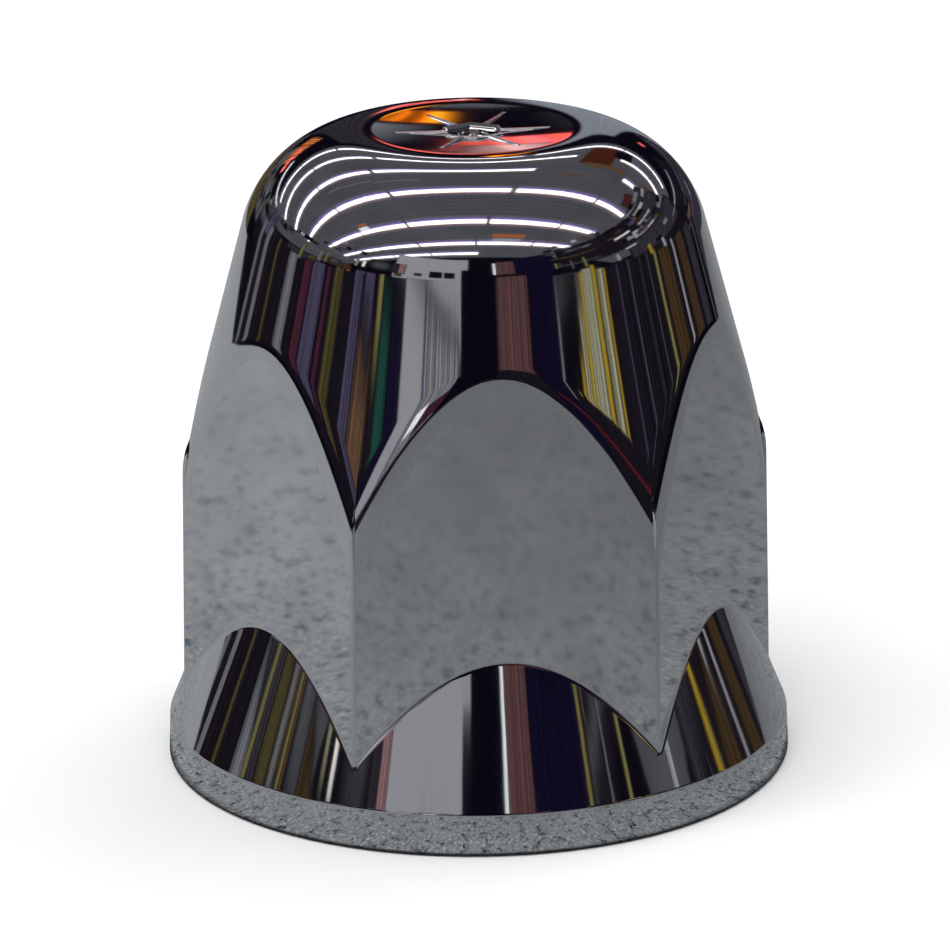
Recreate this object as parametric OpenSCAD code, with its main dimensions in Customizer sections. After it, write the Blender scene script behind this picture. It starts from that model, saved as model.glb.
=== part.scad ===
// Push-on cover for a hexagonal wheel nut: a thin-walled six-sided cap with a
// conical crown, a shallow dish on top and a flared flange round its foot.
// Millimetres, +Z up. The origin is the middle of the rim's flat underside.
// The corners of the hexagon point along X, and one flat faces -Y.

/* [Body] */
// Height from the rim's underside to the crest of the crown
height = 54; // [50:0.5:60]
// Width across the flats, where the flats would reach the underside
hex_af = 43.6; // [42.4:0.1:44.2]
// Draft of the flats, in degrees
hex_draft = 0.9; // [0.5:0.1:1.5]
// Thickness of the moulded wall
wall = 2.2; // [1.8:0.1:2.6]

/* [Crown] */
// Height at which the crown's cone cuts off the corners of the hexagon
corner_h = 25.9; // [22:0.1:29]
// Slope of the crown's cone away from the axis, in degrees
crown_angle = 15.2; // [13:0.1:17]
// Radius of the shoulder that rounds the crown over
shoulder_r = 10.4; // [8:0.1:11.5]
// Slope of the dish at its edge, in degrees
dish_slope = 5; // [3:0.5:8]

/* [Flange] */
// Diameter of the rim at its underside
rim_d = 52.7; // [51.6:0.1:56]
// Height of the rim's upright band
rim_h = 3.6; // [2.6:0.1:4.4]
// Draft of the rim's band, in degrees
rim_draft = 2; // [1:0.5:3]
// Slope of the flare between the rim and the hexagon, in degrees from the axis
flare_angle = 22.5; // [20:0.5:26]
// Radius of the rim's lower outside edge
rim_edge_r = 0.4; // [0.2:0.1:0.8]
// Diameter of the round recess over the nut's washer
recess_d = 48; // [47:0.1:48.8]

/* [Grip] */
// Width across the flats of the nut
nut_af = 33; // [30:0.1:34]
// Gap between a rib and the nut
rib_gap = 0.1; // [0:0.05:0.3]
// Thickness of a rib
rib_t = 1.4; // [1:0.1:2]
// Distance between the two ribs of a flat, middle to middle
rib_pitch = 10; // [7:0.5:13]
// Height at which the ribs begin
rib_foot = 8.5; // [7:0.5:12]
// Lead-in at the foot of a rib, across and up
rib_lead = 1.6; // [1:0.1:2.4]
// Height of the stops that rest on the nut's end
stop_h = 33; // [28:0.5:36]
// Distance between the inner edges of opposite stops
stop_af = 28; // [27:0.1:29]

/* [Moulding mark] */
// How far the mark stands above the dish
mark_h = 0.12; // [0.06:0.02:0.16]
// Radius out to the tips of the arms
arm_reach = 6.55; // [5:0.05:7]
// Width of an arm
arm_w = 0.6; // [0.4:0.02:0.9]
// Radius of the six-sided hub at its corners
hub_r = 2.8; // [2.6:0.1:3.4]
// Radius of the hub's six-sided pocket at its corners
pocket_r = 2.3; // [2:0.05:2.4]
// Depth of the pocket below the middle of the dish
pocket_depth = 0.2; // [0.1:0.05:0.4]
// Radius of the round gate well in the pocket
well_r = 1.35; // [1.1:0.05:1.6]
// Depth of the gate well below the pocket's floor
well_depth = 0.25; // [0.15:0.05:0.4]
// Radius of the nub that the gate left in its well
nub_r = 0.36; // [0.25:0.01:0.6]

/* [Hidden] */
$fn = 96;
eps = 0.01;
SIDES = 6;
RIBS_PER_FLAT = 2;
// Steps along a long rounded stretch of an outline, and along a small edge
ARC_STEPS = 20;
EDGE_STEPS = 4;
// How far a cutting shape runs past the faces that it cuts
over = 2;

rim_r = rim_d / 2;
recess_r = recess_d / 2;
rim_top_r = rim_r - rim_h * tan(rim_draft);
// The crown's cone passes through the hexagon's corner at corner_h
corner_r = (hex_af / 2 - corner_h * tan(hex_draft)) / cos(180 / SIDES);
// Centre of the shoulder's arc, which touches the cone and the crest's level
shoulder_z = height - shoulder_r;
shoulder_x = corner_r - (shoulder_z - corner_h) * tan(crown_angle) - shoulder_r / cos(crown_angle);
// Where the shoulder's arc runs over into the hollow arc of the dish
dish_r = shoulder_x - shoulder_r * sin(dish_slope);
dish_ball_r = dish_r / sin(dish_slope);
dish_ball_z = shoulder_z + (shoulder_r + dish_ball_r) * cos(dish_slope);
dish_floor_z = dish_ball_z - dish_ball_r;
// The recess ends where the flare's inner face starts
recess_h = rim_h + (rim_top_r - wall / cos(flare_angle) - recess_r) / tan(flare_angle);
rib_tip = nut_af / 2 + rib_gap;

// Points along an arc from angle a0 to angle a1
function arc(cx, cz, r, a0, a1, steps = ARC_STEPS) =
    [for (i = [0:steps]) let (a = a0 + (a1 - a0) * i / steps) [cx + r * cos(a), cz + r * sin(a)]];

// Outline of the dish from its edge to the axis, sunk by inset
function dish_outline(inset) =
    arc(0, dish_ball_z, dish_ball_r + inset, -90 + dish_slope, -90);

// Outline of the crown: cone, shoulder and dish, moved inwards by inset
function crown_outline(inset) = concat(
    [[0, -over],
     [corner_r + (corner_h + over) * tan(crown_angle) - inset / cos(crown_angle), -over]],
    arc(shoulder_x, shoulder_z, shoulder_r - inset, crown_angle, 90 + dish_slope - eps),
    dish_outline(inset));

// Six flats with draft, meeting in sharp corners
module drafted_hex(af) {
    intersection_for (i = [0:SIDES - 1])
        rotate([0, 0, i * 360 / SIDES])
            translate([0, -af / 2, 0])
                rotate([-hex_draft, 0, 0])
                    translate([-height, 0, -over])
                        cube([2 * height, 2 * height, height + 2 * over]);
}

// The flats cut to curves by the crown's cone
module hex_and_crown(inset) {
    intersection() {
        drafted_hex(hex_af - 2 * inset / cos(hex_draft));
        rotate_extrude() polygon(crown_outline(inset));
    }
}

// Flange: an upright rim band and a conical flare that runs into the flats
module flange() {
    flare_top = rim_h + (rim_top_r - recess_r + 2 * wall) / tan(flare_angle);
    rotate_extrude()
        polygon(concat(
            [[0, 0]],
            arc(rim_r - rim_edge_r, rim_edge_r, rim_edge_r, -90, 0, EDGE_STEPS),
            [[rim_top_r, rim_h], [rim_top_r - (flare_top - rim_h) * tan(flare_angle), flare_top],
             [0, flare_top]]));
}

// Hollow under the flange: a straight recess, then the flare's inner face
module flange_hollow() {
    hollow_top = recess_h + (recess_r - nut_af / 2) / tan(flare_angle);
    rotate_extrude()
        polygon([
            [0, -over], [recess_r, -over], [recess_r, recess_h],
            [nut_af / 2, hollow_top], [0, hollow_top]]);
}

// One rib seen from its side: lead-in, grip length, then the stop
module rib() {
    rotate([90, 0, 90])
        linear_extrude(rib_t, center = true)
            polygon([
                [hex_af / 2, rib_foot], [rib_tip + rib_lead, rib_foot], [rib_tip, rib_foot + rib_lead],
                [rib_tip, stop_h], [stop_af / 2, stop_h], [stop_af / 2, height], [hex_af / 2, height]]);
}

// Ribs on every flat, which the cavity leaves standing
module ribs() {
    for (i = [0:SIDES - 1], j = [0:RIBS_PER_FLAT - 1])
        rotate([0, 0, i * 360 / SIDES])
            translate([(j - (RIBS_PER_FLAT - 1) / 2) * rib_pitch, 0, 0])
                rib();
}

module cavity() {
    difference() {
        union() {
            hex_and_crown(wall);
            flange_hollow();
        }
        ribs();
    }
}

// Six arms that point at the corners, round a six-sided hub
module star() {
    circle(hub_r, $fn = SIDES);
    for (i = [0:SIDES / 2 - 1])
        rotate(i * 360 / SIDES)
            square([2 * arm_reach, arm_w], center = true);
}

// Skin of the dish, from half a wall deep to a height above its face
module dish_skin(h) {
    rotate_extrude()
        polygon(concat([[0, dish_floor_z - wall / 2], [dish_r, dish_floor_z - wall / 2]], dish_outline(-h)));
}

// Raised moulding mark in the dish
module gate_mark() {
    intersection() {
        translate([0, 0, dish_floor_z - wall]) linear_extrude(2 * wall) star();
        dish_skin(mark_h);
    }
}

// Six-sided pocket in the hub, and the gate well with its nub
module gate_pocket() {
    pocket_z = dish_floor_z - pocket_depth;
    translate([0, 0, pocket_z]) cylinder(h = wall, r = pocket_r, $fn = SIDES);
    translate([0, 0, pocket_z - well_depth])
        difference() {
            cylinder(h = 2 * well_depth, r = well_r);
            cylinder(h = well_depth, r = nub_r);
        }
}

module cap() {
    color([0.78, 0.79, 0.81])
        difference() {
            union() {
                hex_and_crown(0);
                flange();
                gate_mark();
            }
            cavity();
            gate_pocket();
            // The flats start above the rim's underside
            translate([0, 0, -2 * over]) cylinder(h = 2 * over, r = rim_d);
        }
}

cap();
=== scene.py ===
"""Looks of a push-on cover cap for a hexagonal wheel nut: bright plating on a thin moulded shell.

The shell is spun as a round blank, and its side is then pressed onto the six flats, the crown's
cone and the flare, so that every edge has its own small radius. Sizes are in metres, in the part's
own frame: +Z up, the origin in the middle of the rim's underside, one flat facing -Y.
"""

import logging
import math
import random
from collections.abc import Callable
from dataclasses import dataclass, field
from enum import Enum

import bmesh
import bpy
import numpy as np
from mathutils import Matrix, Vector


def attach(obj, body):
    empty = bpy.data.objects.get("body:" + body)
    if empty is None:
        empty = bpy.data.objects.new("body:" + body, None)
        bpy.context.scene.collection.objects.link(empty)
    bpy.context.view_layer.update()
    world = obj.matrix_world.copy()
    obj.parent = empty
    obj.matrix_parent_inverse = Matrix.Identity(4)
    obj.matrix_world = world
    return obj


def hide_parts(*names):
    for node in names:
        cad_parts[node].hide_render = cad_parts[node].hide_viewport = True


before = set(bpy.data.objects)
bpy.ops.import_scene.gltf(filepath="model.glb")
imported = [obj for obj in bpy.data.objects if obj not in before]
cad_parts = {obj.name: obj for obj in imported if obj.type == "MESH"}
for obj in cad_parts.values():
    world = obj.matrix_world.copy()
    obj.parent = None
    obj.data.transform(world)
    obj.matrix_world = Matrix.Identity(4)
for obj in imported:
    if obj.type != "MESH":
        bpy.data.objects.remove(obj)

LOG = logging.getLogger("cover_cap")
NODE = "cap"
BODY = "root"
MM = 0.001
SIDES = 6
SECTOR = 2 * math.pi / SIDES
HALF_SECTOR = SECTOR / 2
# Room that the rows beside a rolled edge leave round it
BAND_MARGIN = 1.12
# Rise for run of the upper and the lower arc where they reach a corner
UPPER_STEEPNESS = 2.3
LOWER_STEEPNESS = 1.5
# Points this close are one point
WELD = 0.0001 * MM
# How far a vertex may lie from a skin and still take its normal
ON_SKIN = 0.0008 * MM
# Least cosine between a face and the skin's normal for the skin's normal to be taken
AGREEMENT = 0.97
# Edges that turn more than this stay crisp
CRISP = math.radians(32)


class Side(Enum):
    """Which of the shell's two skins a face belongs to, as its material index."""

    SHOWN = 0
    INSIDE = 1


@dataclass(frozen=True)
class CapSizes:
    """Sizes of the moulding, in metres and radians."""

    height: float = 53.998 * MM
    hex_af: float = 43.6 * MM
    hex_draft: float = math.radians(0.9)
    wall: float = 2.2 * MM
    corner_h: float = 25.9 * MM
    crown_angle: float = math.radians(15.2)
    shoulder_r: float = 10.4 * MM
    dish_slope: float = math.radians(5)
    rim_d: float = 52.68 * MM
    rim_h: float = 3.6 * MM
    rim_draft: float = math.radians(2)
    flare_angle: float = math.radians(22.5)
    rim_edge_r: float = 0.4 * MM
    rim_top_edge_r: float = 0.7 * MM
    recess_d: float = 48 * MM
    recess_edge_r: float = 0.25 * MM

    @property
    def rim_r(self) -> float:
        """Radius of the rim at its underside."""
        return self.rim_d / 2

    @property
    def recess_r(self) -> float:
        """Radius of the recess over the washer."""
        return self.recess_d / 2

    @property
    def rim_top_r(self) -> float:
        """Radius where the rim's band meets the flare."""
        return self.rim_r - self.rim_h * math.tan(self.rim_draft)

    @property
    def corner_r(self) -> float:
        """Radius of the crown's cone where it cuts off the corners."""
        flat = self.hex_af / 2 - self.corner_h * math.tan(self.hex_draft)
        return flat / math.cos(HALF_SECTOR)

    @property
    def shoulder_z(self) -> float:
        """Height of the centre of the shoulder's arc."""
        return self.height - self.shoulder_r

    @property
    def shoulder_x(self) -> float:
        """Radius of the centre of the shoulder's arc."""
        lean = (self.shoulder_z - self.corner_h) * math.tan(self.crown_angle)
        return self.corner_r - lean - self.shoulder_r / math.cos(self.crown_angle)

    @property
    def dish_r(self) -> float:
        """Radius of the dish's edge."""
        return self.shoulder_x - self.shoulder_r * math.sin(self.dish_slope)

    @property
    def dish_ball_r(self) -> float:
        """Radius of the ball that hollows the dish."""
        return self.dish_r / math.sin(self.dish_slope)

    @property
    def dish_ball_z(self) -> float:
        """Height of the middle of that ball."""
        return self.shoulder_z + (self.shoulder_r + self.dish_ball_r) * math.cos(self.dish_slope)

    @property
    def dish_floor_z(self) -> float:
        """Height of the middle of the dish."""
        return self.dish_ball_z - self.dish_ball_r

    @property
    def recess_h(self) -> float:
        """Height at which the recess runs into the flare's inner face."""
        inner_r = self.rim_top_r - self.wall / math.cos(self.flare_angle)
        return self.rim_h + (inner_r - self.recess_r) / math.tan(self.flare_angle)


def rolled(a: np.ndarray, b: np.ndarray, cosine: np.ndarray, radius: float) -> np.ndarray:
    """Gives the distance to what two faces enclose, with their common edge rolled over.

    Args:
        a: Outward distances to the first face.
        b: Outward distances to the second face.
        cosine: Cosine of the angle between the two faces' normals.
        radius: Radius of the ball that is rolled along the edge.

    Returns:
        Outward distances to the rounded solid.
    """
    u, v = a + radius, b + radius
    in_roll = (u > v * cosine) & (v > u * cosine)
    spread = np.maximum(u * u + v * v - 2 * u * v * cosine, 0)
    return np.where(in_roll, np.sqrt(spread / (1 - cosine * cosine)) - radius, np.maximum(a, b))


@dataclass(frozen=True)
class SkinForm:
    """One skin of the shell: six drafted flats, the crown over them and the flare round their foot.

    Attributes:
        sizes: Sizes of the moulding.
        inset: How deep the skin lies under the outer one.
        corner_roll: Radius along the corners of the hexagon.
        crown_roll: Radius along the arcs where the crown's cone cuts the flats.
        foot_roll: Radius in the angle between the flats and the flare.
    """

    sizes: CapSizes
    inset: float
    corner_roll: float
    crown_roll: float
    foot_roll: float

    def distance(self, x: np.ndarray, y: np.ndarray, z: np.ndarray) -> np.ndarray:
        """Gives outward distances from points to this skin, above the rim.

        Args:
            x: Places along X.
            y: Places along Y.
            z: Heights.

        Returns:
            Distances, negative inside.
        """
        s = self.sizes
        radius = np.hypot(x, y)
        off = (np.arctan2(y, x) + HALF_SECTOR) % SECTOR - HALF_SECTOR
        draft, lean, flare = s.hex_draft, s.crown_angle, s.flare_angle
        reach = z * math.sin(draft) - s.hex_af / 2 * math.cos(draft) + self.inset
        flat_a = radius * np.cos(off - HALF_SECTOR) * math.cos(draft) + reach
        flat_b = radius * np.cos(off + HALF_SECTOR) * math.cos(draft) + reach
        between = math.cos(draft) ** 2 * math.cos(SECTOR) + math.sin(draft) ** 2
        hexagon = rolled(flat_a, flat_b, np.full_like(z, between), self.corner_roll)
        facing = self._facing(flat_a, flat_b, off)
        side = np.cos(off - facing)
        at_crown = math.cos(draft) * math.cos(lean) * side + math.sin(draft) * math.sin(lean)
        body = rolled(hexagon, self.crown_distance(radius, z), at_crown, self.crown_roll)
        skirt_r = s.rim_top_r - (z - s.rim_h) * math.tan(flare)
        skirt = (radius - skirt_r) * math.cos(flare) + self.inset
        at_foot = math.cos(draft) * math.cos(flare) * side + math.sin(draft) * math.sin(flare)
        return -rolled(-body, -skirt, at_foot, self.foot_roll)

    def _facing(self, flat_a: np.ndarray, flat_b: np.ndarray, off: np.ndarray) -> np.ndarray:
        """Gives the direction that the rounded hexagon faces, as an angle from its nearest corner.

        Args:
            flat_a: Outward distances to the flat on one side of the corner.
            flat_b: Outward distances to the flat on its other side.
            off: Azimuths from the corner.

        Returns:
            Angles from the corner.
        """
        u, v = flat_a + self.corner_roll, flat_b + self.corner_roll
        share = (u - v) / np.where(u + v > 0, u + v, 1) / math.tan(HALF_SECTOR)
        turned = np.clip(np.arctan(share), -HALF_SECTOR, HALF_SECTOR)
        return np.where((u > 0) & (v > 0), turned, np.where(off < 0, -HALF_SECTOR, HALF_SECTOR))

    def crown_distance(self, radius: np.ndarray, z: np.ndarray) -> np.ndarray:
        """Gives outward distances to the crown alone: cone, shoulder and dish.

        Args:
            radius: Distances from the axis.
            z: Heights.

        Returns:
            Distances, negative inside.
        """
        s = self.sizes
        cone_r = s.corner_r - (z - s.corner_h) * math.tan(s.crown_angle)
        cone = (radius - cone_r) * math.cos(s.crown_angle)
        dx, dz = radius - s.shoulder_x, z - s.shoulder_z
        shoulder = np.hypot(dx, dz) - s.shoulder_r
        dish = s.dish_ball_r - np.hypot(radius, z - s.dish_ball_z)
        over_cone = dz > dx * math.tan(s.crown_angle)
        over_dish = over_cone & (dx < -dz * math.tan(s.dish_slope))
        return np.where(over_dish, dish, np.where(over_cone, shoulder, cone)) + self.inset

    def normals(self, points: np.ndarray, step: float = 0.0005 * MM) -> np.ndarray:
        """Gives the skin's true outward normals at points on it.

        Args:
            points: Places on the skin, one a row.
            step: How far apart the distances are taken.

        Returns:
            Normals of length 1, one a row.
        """
        slopes = []
        for axis in np.eye(3) * step:
            ahead, behind = points + axis, points - axis
            slopes.append(self.distance(*ahead.T) - self.distance(*behind.T))
        normals = np.array(slopes).T
        return normals / np.maximum(np.linalg.norm(normals, axis=1, keepdims=True), 1e-12)

    def radius_at(self, azimuth: np.ndarray, z: np.ndarray) -> np.ndarray:
        """Finds the radius of the skin at given azimuths and heights by halving an interval.

        Args:
            azimuth: Azimuths round the cap.
            z: Heights.

        Returns:
            Distances from the axis.
        """
        low = np.zeros_like(z)
        high = np.full_like(z, 2 * self.sizes.rim_r)
        for _ in range(48):
            middle = (low + high) / 2
            outside = self.distance(middle * np.cos(azimuth), middle * np.sin(azimuth), z) > 0
            low, high = np.where(outside, low, middle), np.where(outside, middle, high)
        return (low + high) / 2

    def arc_heights(self, azimuth: np.ndarray) -> tuple[np.ndarray, np.ndarray]:
        """Gives the heights at which a flat meets the crown's cone and the flare.

        Args:
            azimuth: Azimuths round the cap.

        Returns:
            Heights of the upper arc and of the lower arc.
        """
        s = self.sizes
        draft = math.tan(s.hex_draft)
        aside = np.cos((azimuth % SECTOR) - HALF_SECTOR)
        flat = (s.hex_af / 2 - self.inset / math.cos(s.hex_draft)) / aside
        cone, skirt = math.tan(s.crown_angle), math.tan(s.flare_angle)
        cone_foot = s.corner_r - self.inset / math.cos(s.crown_angle) + s.corner_h * cone
        skirt_foot = s.rim_top_r - self.inset / math.cos(s.flare_angle) + s.rim_h * skirt
        return (cone_foot - flat) / (cone - draft / aside), (skirt_foot - flat) / (skirt - draft / aside)

    def band(self, azimuth: np.ndarray, slope_angle: float, roll: float, steepness: float) -> np.ndarray:
        """Gives how far above and below an arc its rolled edge reaches.

        Args:
            azimuth: Azimuths round the cap.
            slope_angle: Slope of the cone that cuts the flat, from the axis.
            roll: Radius of the rolled edge.
            steepness: Rise of the arc at the corner for its run.

        Returns:
            Heights from the arc to the end of its roll.
        """
        s = self.sizes
        aside = (azimuth % SECTOR) - HALF_SECTOR
        cosine = math.cos(s.hex_draft) * math.cos(slope_angle) * np.cos(aside)
        cosine = cosine + math.sin(s.hex_draft) * math.sin(slope_angle)
        rise = steepness * np.abs(aside) / HALF_SECTOR
        return roll * np.tan(np.arccos(cosine) / 2) * np.hypot(1, rise) * BAND_MARGIN


@dataclass
class Section:
    """The shell's section as rows from the middle of the dish, round the rim, to the roof inside.

    Attributes:
        points: Radius and height of each row of the round blank.
        station: For each row that is pressed, its place along its skin's key heights, else -1.
        inner: For each row, whether it lies on the inner skin.
    """

    points: list[tuple[float, float]] = field(default_factory=list)
    station: list[float] = field(default_factory=list)
    inner: list[bool] = field(default_factory=list)

    def add(self, radius: float, z: float, inner: bool = False, station: float = -1.0) -> None:
        """Adds one row.

        Args:
            radius: Distance from the axis.
            z: Height.
            inner: Whether the row lies on the inner skin.
            station: Its place along its skin's key heights, or -1 if it isn't pressed.
        """
        self.points.append((radius, z))
        self.station.append(station)
        self.inner.append(inner)

    def arc(self, centre: tuple[float, float], radius: float, start: float, end: float,
            steps: int, inner: bool = False, skip_first: bool = False) -> None:
        """Adds rows along an arc of the section.

        Args:
            centre: Radius and height of the arc's centre.
            radius: The arc's own radius.
            start: Angle at which it starts, in radians from outwards towards up.
            end: Angle at which it ends.
            steps: Number of steps along it.
            inner: Whether the rows lie on the inner skin.
            skip_first: Whether the first row is there already.
        """
        for i in range(1 if skip_first else 0, steps + 1):
            angle = start + (end - start) * i / steps
            self.add(centre[0] + radius * math.cos(angle), centre[1] + radius * math.sin(angle), inner)


class ShellBlank:
    """Spins the section to a round blank and presses its side onto the two skins."""

    # Azimuths of the columns from a corner to the middle of a flat, in degrees
    COLUMNS = (0, 0.13, 0.26, 0.39, 0.52, 0.65, 0.85, 1.15, 1.6, 2.2, 3, 4, 5.2, 6.6, 8.2, 10, 12,
               14, 16, 18.2, 20.4, 22.8, 25.2, 27.6, 30)
    # Rows in the five stretches of a pressed side: cone, upper arc, flat, lower arc, flare
    OUTER_ROWS = (9, 16, 13, 5, 5)
    INNER_ROWS = (6, 5, 9, 4, 4)

    def __init__(self, sizes: CapSizes, outer: SkinForm, inner: SkinForm) -> None:
        """Keeps what the blank is made from.

        Args:
            sizes: The cap's sizes.
            outer: The outer skin.
            inner: The inner skin.
        """
        self.sizes = sizes
        self.outer = outer
        self.inner = inner
        self.section = Section()

    def key_heights(self, skin: SkinForm, azimuth: np.ndarray) -> list[np.ndarray]:
        """Gives the heights between which a skin's pressed rows are spread, from the top down.

        Args:
            skin: The skin.
            azimuth: Azimuths of the columns.

        Returns:
            Six rows of heights, one for each end of the five stretches.
        """
        s = self.sizes
        upper, lower = skin.arc_heights(azimuth)
        over = skin.band(azimuth, s.crown_angle, skin.crown_roll, UPPER_STEEPNESS)
        under = skin.band(azimuth, s.flare_angle, skin.foot_roll, LOWER_STEEPNESS)
        level = np.ones_like(azimuth)
        top = s.shoulder_z + (s.shoulder_r - skin.inset) * math.sin(s.crown_angle)
        foot = s.recess_h if skin is self.inner else self.flare_foot()[1]
        return [level * top, upper + over, upper - over, lower + under, lower - under, level * foot]

    def flare_foot(self) -> tuple[float, float]:
        """Gives radius and height where the flare ends at the rim's rolled upper edge.

        Returns:
            Radius and height.
        """
        s = self.sizes
        turn = s.flare_angle - s.rim_draft
        back = s.rim_top_edge_r * math.tan(turn / 2)
        return (s.rim_top_r - back * math.sin(s.flare_angle), s.rim_h + back * math.cos(s.flare_angle))

    def _pressed(self, skin: SkinForm, rows: tuple[int, ...], upwards: bool) -> None:
        """Adds the rows of a skin's pressed side, without the first and the last.

        Args:
            skin: The skin.
            rows: Numbers of rows in the five stretches.
            upwards: Whether the rows run from the flare to the crown, as on the inner skin.
        """
        stations = [k + i / n for k, n in enumerate(rows) for i in range(n)][1:]
        at_corner = [float(h[0]) for h in self.key_heights(skin, np.zeros(1))]
        for station in reversed(stations) if upwards else stations:
            z = float(np.interp(station, range(len(at_corner)), at_corner))
            radius = float(skin.radius_at(np.zeros(1), np.array([z]))[0])
            self.section.add(radius, z, upwards, station)

    def draw_section(self) -> None:
        """Draws the whole section of the blank through a corner."""
        s, section = self.sizes, self.section
        quarter = math.pi / 2
        top = (s.shoulder_x, s.shoulder_z)
        ball = (0.0, s.dish_ball_z)
        section.arc(ball, s.dish_ball_r, -quarter, -quarter + s.dish_slope, 14)
        section.arc(top, s.shoulder_r, quarter + s.dish_slope, s.crown_angle, 36, skip_first=True)
        self._pressed(self.outer, self.OUTER_ROWS, upwards=False)
        foot_r, foot_z = self.flare_foot()
        edge = s.rim_top_edge_r
        centre = (foot_r - edge * math.cos(s.flare_angle), foot_z - edge * math.sin(s.flare_angle))
        section.arc(centre, edge, s.flare_angle, s.rim_draft, 5)
        turn = (s.rim_r - s.rim_edge_r, s.rim_edge_r)
        section.arc(turn, s.rim_edge_r, s.rim_draft, -quarter, 6)
        edge = s.recess_edge_r
        section.arc((s.recess_r + edge, edge), edge, -quarter, -2 * quarter, 4)
        section.add(s.recess_r, s.recess_h / 2, True)
        section.add(s.recess_r, s.recess_h, True)
        self._pressed(self.inner, self.INNER_ROWS, upwards=True)
        section.arc(top, s.shoulder_r - s.wall, s.crown_angle, quarter + s.dish_slope, 22, True)
        section.arc(ball, s.dish_ball_r + s.wall, -quarter + s.dish_slope, -quarter, 6, True, True)

    def build(self) -> bmesh.types.BMesh:
        """Spins and presses the blank.

        Returns:
            The closed shell, faces of both skins marked with their material index.
        """
        self.draw_section()
        bm = bmesh.new()
        row_layer = bm.verts.layers.int.new("row")
        verts = []
        for row, (radius, z) in enumerate(self.section.points):
            vert = bm.verts.new((max(radius, 0.0), 0.0, z))
            vert[row_layer] = row
            verts.append(vert)
        edges = [bm.edges.new(pair) for pair in zip(verts, verts[1:])]
        columns = 2 * SIDES * (len(self.COLUMNS) - 1)
        bmesh.ops.spin(bm, geom=verts + edges, cent=(0, 0, 0), axis=(0, 0, 1), dvec=(0, 0, 0),
                       angle=2 * math.pi, steps=columns, use_merge=True, use_duplicate=False)
        self._press(bm, row_layer, columns)
        bmesh.ops.remove_doubles(bm, verts=bm.verts, dist=WELD / 10)
        bmesh.ops.recalc_face_normals(bm, faces=bm.faces)
        inner = self.section.inner
        for face in bm.faces:
            hidden = sum(inner[v[row_layer]] for v in face.verts) > len(face.verts) / 2
            face.material_index = (Side.INSIDE if hidden else Side.SHOWN).value
            face.smooth = True
        return bm

    def _press(self, bm: bmesh.types.BMesh, row_layer: bmesh.types.BMLayerItem, columns: int) -> None:
        """Turns every column to its azimuth and moves the pressed rows onto their skin.

        Args:
            bm: The round blank.
            row_layer: Layer that holds each vertex's row.
            columns: Number of columns.
        """
        place = np.array([v.co for v in bm.verts])
        rows = np.array([v[row_layer] for v in bm.verts])
        turn = np.round(np.arctan2(place[:, 1], place[:, 0]) / (2 * math.pi / columns)).astype(int)
        azimuth = self._azimuths(columns)[turn % columns]
        radius = np.array(self.section.points)[rows, 0]
        z = np.array(self.section.points)[rows, 1]
        station = np.array(self.section.station)[rows]
        inner = np.array(self.section.inner)[rows]
        for skin, member in ((self.outer, ~inner), (self.inner, inner)):
            picked = (station >= 0) & member
            keys = np.array(self.key_heights(skin, azimuth[picked]))
            whole = np.floor(station[picked]).astype(int)
            share = station[picked] - whole
            at = np.arange(picked.sum())
            z[picked] = keys[whole, at] * (1 - share) + keys[whole + 1, at] * share
            radius[picked] = skin.radius_at(azimuth[picked], z[picked])
        pressed = np.stack([radius * np.cos(azimuth), radius * np.sin(azimuth), z], axis=1)
        for vert, co in zip(bm.verts, pressed.tolist()):
            vert.co = co

    def _azimuths(self, columns: int) -> np.ndarray:
        """Gives the azimuth of each column, closer together at the corners.

        Args:
            columns: Number of columns.

        Returns:
            Azimuths from the +X axis.
        """
        half = list(self.COLUMNS)
        whole = half + [math.degrees(SECTOR) - a for a in reversed(half[1:-1])]
        sectors = [math.degrees(SECTOR) * i + a for i in range(SIDES) for a in whole]
        return np.radians(np.array(sectors[:columns]))


def new_object(name: str, bm: bmesh.types.BMesh) -> bpy.types.Object:
    """Makes a linked object of a bmesh and frees it.

    Args:
        name: The object's name.
        bm: Its shape.

    Returns:
        The object.
    """
    mesh = bpy.data.meshes.new(name)
    bm.to_mesh(mesh)
    bm.free()
    obj = bpy.data.objects.new(name, mesh)
    bpy.context.scene.collection.objects.link(obj)
    return obj


def boolean(target: bpy.types.Object, tool: bpy.types.Object, operation: str) -> None:
    """Joins a tool to a target or cuts it out, and removes the tool.

    Args:
        target: Object whose mesh changes.
        tool: Closed solid, or several that may overlap.
        operation: UNION or DIFFERENCE.
    """
    modifier = target.modifiers.new("joint", "BOOLEAN")
    modifier.operation = operation
    modifier.solver = "EXACT"
    modifier.use_self = operation == "UNION"
    modifier.material_mode = "INDEX"
    modifier.object = tool
    evaluated = target.evaluated_get(bpy.context.evaluated_depsgraph_get())
    mesh = bpy.data.meshes.new_from_object(evaluated)
    target.modifiers.clear()
    old, target.data = target.data, mesh
    bpy.data.meshes.remove(old)
    bpy.data.meshes.remove(tool.data)


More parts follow.
